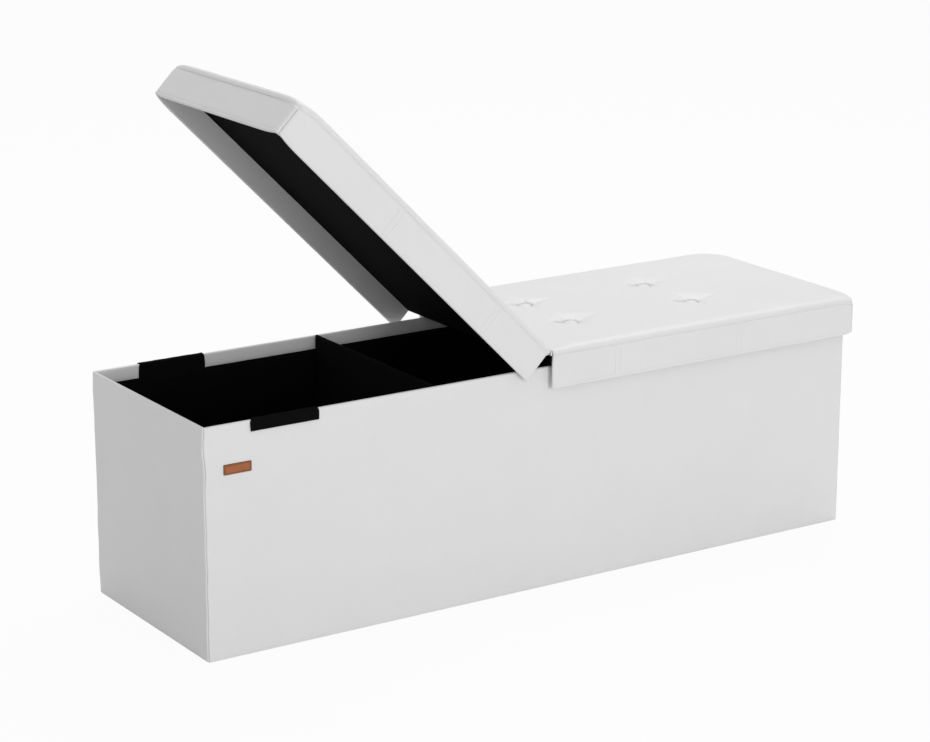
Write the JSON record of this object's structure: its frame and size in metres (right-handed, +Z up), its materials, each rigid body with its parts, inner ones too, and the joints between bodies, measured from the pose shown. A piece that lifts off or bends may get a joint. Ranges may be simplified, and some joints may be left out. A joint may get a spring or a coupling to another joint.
{
  "type": "storage bench",
  "caption": "Long upholstered storage bench: lined box with lift-out dividers under a tufted lid whose hinged halves flip up or lift off together.",
  "frame": {"origin": "middle of the underside, where the box meets the floor", "axes": "+X along the bench to the right seen from the front, -Y the front with the label, +Z up"},
  "size_m": [1.187, 0.38, 0.8019],
  "materials": {
    "white_leatherette": "satin",
    "black_cloth": "matte",
    "fibreboard": "raw",
    "foam": "matte",
    "label_leather": "satin",
    "twine": "matte",
    "washer": "matte"
  },
  "bodies": {
    "box": {"back_wall_board": "fibreboard", "back_wall_cover": "white_leatherette", "back_wall_lining": "black_cloth", "base_cloth": "black_cloth", "floor_board": "fibreboard", "front_wall_board": "fibreboard", "front_wall_cover": "white_leatherette", "front_wall_lining": "black_cloth", "label": "label_leather", "left_back_tab": "black_cloth", "left_divider_board": "fibreboard", "left_divider_cover": "black_cloth", "left_end_wall_board": "fibreboard", "left_end_wall_cover": "white_leatherette", "left_end_wall_lining": "black_cloth", "left_front_tab": "black_cloth", "right_back_tab": "black_cloth", "right_divider_board": "fibreboard", "right_divider_cover": "black_cloth", "right_end_wall_board": "fibreboard", "right_end_wall_cover": "white_leatherette", "right_end_wall_lining": "black_cloth", "right_front_tab": "black_cloth"},
    "hinge_strip": {"hinge_welt": "white_leatherette"},
    "left_lid": {"left_back_skirt_board": "fibreboard", "left_back_skirt_cover": "white_leatherette", "left_button_twines": "twine", "left_button_washers": "washer", "left_buttons": "white_leatherette", "left_end_skirt_board": "fibreboard", "left_end_skirt_cover": "white_leatherette", "left_foam": "foam", "left_front_skirt_board": "fibreboard", "left_front_skirt_cover": "white_leatherette", "left_panel_board": "fibreboard", "left_top_cover": "white_leatherette", "left_under_cloth": "black_cloth"},
    "right_lid": {"right_back_skirt_board": "fibreboard", "right_back_skirt_cover": "white_leatherette", "right_button_twines": "twine", "right_button_washers": "washer", "right_buttons": "white_leatherette", "right_end_skirt_board": "fibreboard", "right_end_skirt_cover": "white_leatherette", "right_foam": "foam", "right_front_skirt_board": "fibreboard", "right_front_skirt_cover": "white_leatherette", "right_panel_board": "fibreboard", "right_top_cover": "white_leatherette", "right_under_cloth": "black_cloth"}
  },
  "joints": [
    {"name": "lid_lift", "type": "slide", "parent": "box", "child": "hinge_strip", "axis": [0, 0, 1], "range_m": [0, 0.3]},
    {"name": "left_lid_flip", "type": "hinge", "parent": "hinge_strip", "child": "left_lid", "pos_m": [0, 0, 0.3797], "axis": [0, 1, 0], "range_deg": [-45, 39]},
    {"name": "right_lid_flip", "type": "hinge", "parent": "hinge_strip", "child": "right_lid", "pos_m": [0, 0, 0.3797], "axis": [0, -1, 0], "range_deg": [0, 84]}
  ]
}
